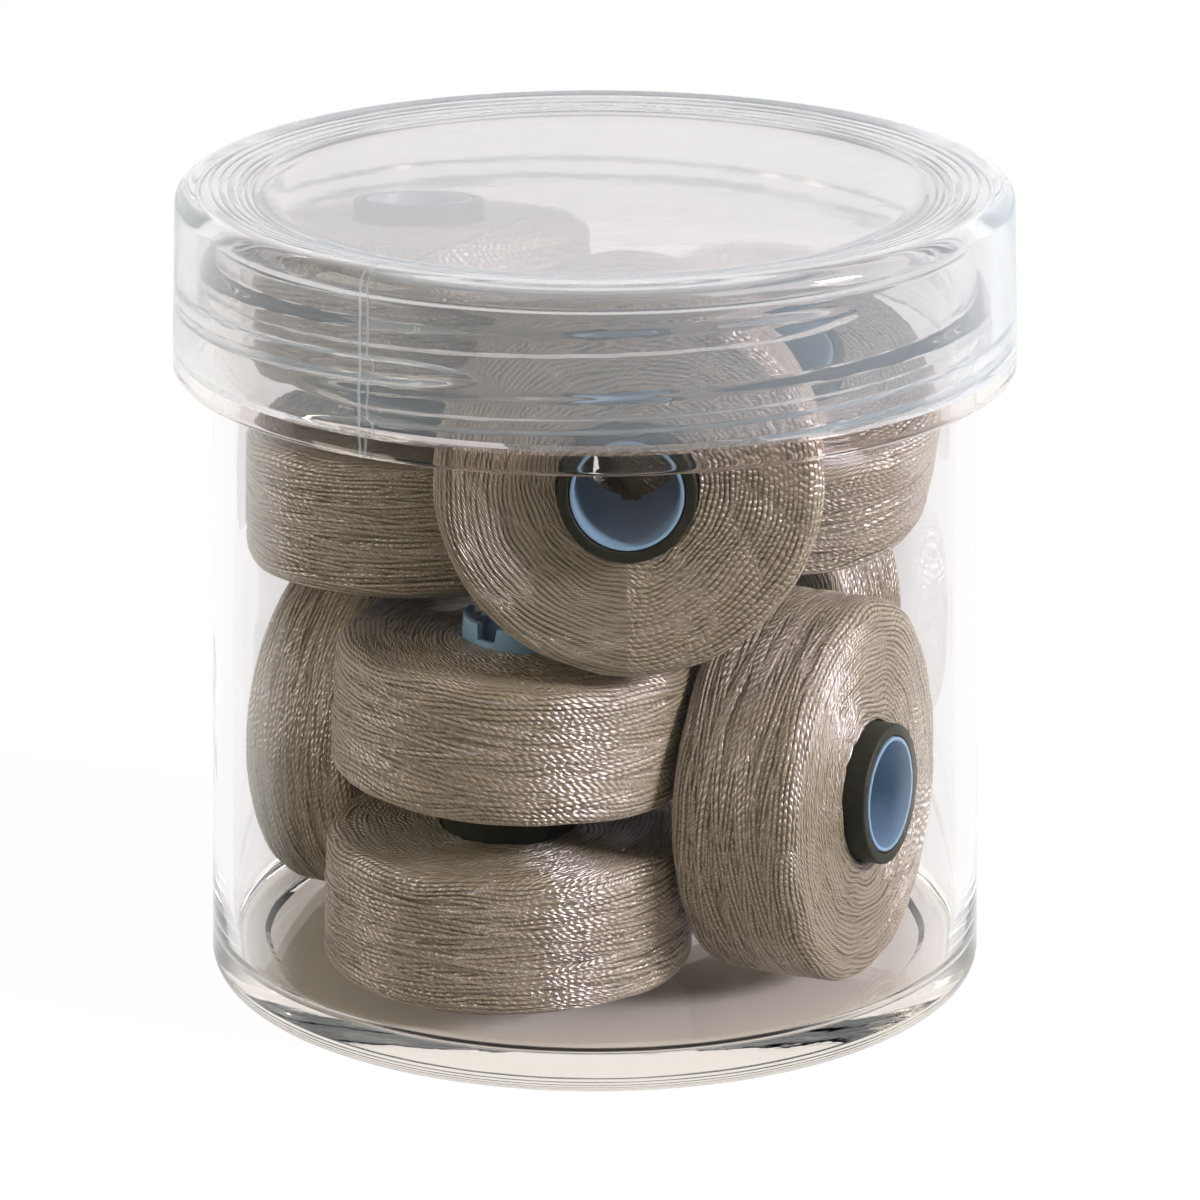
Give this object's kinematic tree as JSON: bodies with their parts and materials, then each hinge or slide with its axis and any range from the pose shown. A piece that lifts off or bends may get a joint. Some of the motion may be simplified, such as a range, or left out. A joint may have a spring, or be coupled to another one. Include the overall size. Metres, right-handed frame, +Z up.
{
  "type": "bobbin jar",
  "caption": "Clear straight-sided jar with a milky screw lid, filled with loose sideless pre-wound thread bobbins on blue cores with black magnetic rings.",
  "frame": {"origin": "centre of the jar's flat underside", "axes": "+Z up through the lid, -Y towards the viewer of the picture"},
  "size_m": [0.059, 0.059, 0.054],
  "materials": {
    "clear_polystyrene": "clear, polished",
    "clear_liner": "clear, polished",
    "milky_polypropylene": "translucent, satin gloss",
    "bobbin_thread": "twisted filament thread with a silky sheen",
    "blue_core": "satin",
    "black_magnet": "matt"
  },
  "bodies": {
    "jar": {"jar_body": "clear_polystyrene"},
    "liner": {"lid_liner": "clear_liner"},
    "lid": {"lid": "milky_polypropylene"},
    "bobbin_01": {"winding_01": "bobbin_thread", "core_01": "blue_core", "magnet_01": "black_magnet"},
    "bobbin_02": {"winding_02": "bobbin_thread", "core_02": "blue_core", "magnet_02": "black_magnet"},
    "bobbin_03": {"winding_03": "bobbin_thread", "core_03": "blue_core", "magnet_03": "black_magnet"},
    "bobbin_04": {"winding_04": "bobbin_thread", "core_04": "blue_core", "magnet_04": "black_magnet"},
    "bobbin_05": {"winding_05": "bobbin_thread", "core_05": "blue_core", "magnet_05": "black_magnet"},
    "bobbin_06": {"winding_06": "bobbin_thread", "core_06": "blue_core", "magnet_06": "black_magnet"},
    "bobbin_07": {"winding_07": "bobbin_thread", "core_07": "blue_core", "magnet_07": "black_magnet"},
    "bobbin_08": {"winding_08": "bobbin_thread", "core_08": "blue_core", "magnet_08": "black_magnet"},
    "bobbin_09": {"winding_09": "bobbin_thread", "core_09": "blue_core", "magnet_09": "black_magnet"}
  },
  "joints": [
    {"name": "lid_lift", "type": "slide", "parent": "jar", "child": "liner", "axis": [0, 0, 1], "range_m": [0, 0.01265]},
    {"name": "lid_turn", "type": "hinge", "parent": "liner", "child": "lid", "pos_m": [0, 0, 0.0533], "axis": [0, 0, 1], "range_deg": [0, 1080]},
    {"name": "bobbin_01_spin", "type": "hinge", "parent": "jar", "child": "bobbin_01", "pos_m": [0.0023, -0.0157, 0.0384], "axis": [-0.0349, -0.9994, 0], "continuous": true},
    {"name": "bobbin_02_spin", "type": "hinge", "parent": "jar", "child": "bobbin_02", "pos_m": [-0.0125, 0.0017, 0.0326], "axis": [0, -0.007, 1], "continuous": true},
    {"name": "bobbin_03_spin", "type": "hinge", "parent": "jar", "child": "bobbin_03", "pos_m": [0.0124, 0.0026, 0.0371], "axis": [0.1099, -0.3833, 0.9171], "continuous": true},
    {"name": "bobbin_04_spin", "type": "hinge", "parent": "jar", "child": "bobbin_04", "pos_m": [0.01005, 0.01389, 0.02123], "axis": [0.5335, 0.8375, 0.1184], "continuous": true},
    {"name": "bobbin_05_spin", "type": "hinge", "parent": "jar", "child": "bobbin_05", "pos_m": [0.0145, -0.0082, 0.0149], "axis": [0.891, -0.454, 0], "continuous": true},
    {"name": "bobbin_06_spin", "type": "hinge", "parent": "jar", "child": "bobbin_06", "pos_m": [-0.0153, 0.0088, 0.0144], "axis": [-0.8746, 0.4848, 0], "continuous": true},
    {"name": "bobbin_07_spin", "type": "hinge", "parent": "jar", "child": "bobbin_07", "pos_m": [-0.0053, -0.0088, 0.0205], "axis": [-0.0523, 0, -0.9986], "continuous": true},
    {"name": "bobbin_08_spin", "type": "hinge", "parent": "jar", "child": "bobbin_08", "pos_m": [-0.0058, -0.0096, 0.0081], "axis": [0, 0, 1], "continuous": true},
    {"name": "bobbin_09_spin", "type": "hinge", "parent": "jar", "child": "bobbin_09", "pos_m": [-0.0124, 0.0022, 0.04512], "axis": [0, 0.1184, 0.993], "continuous": true}
  ],
  "couplings": [
    {"joint": "lid_lift", "follows": "lid_turn", "m_per_rad": 0.00066845}
  ]
}
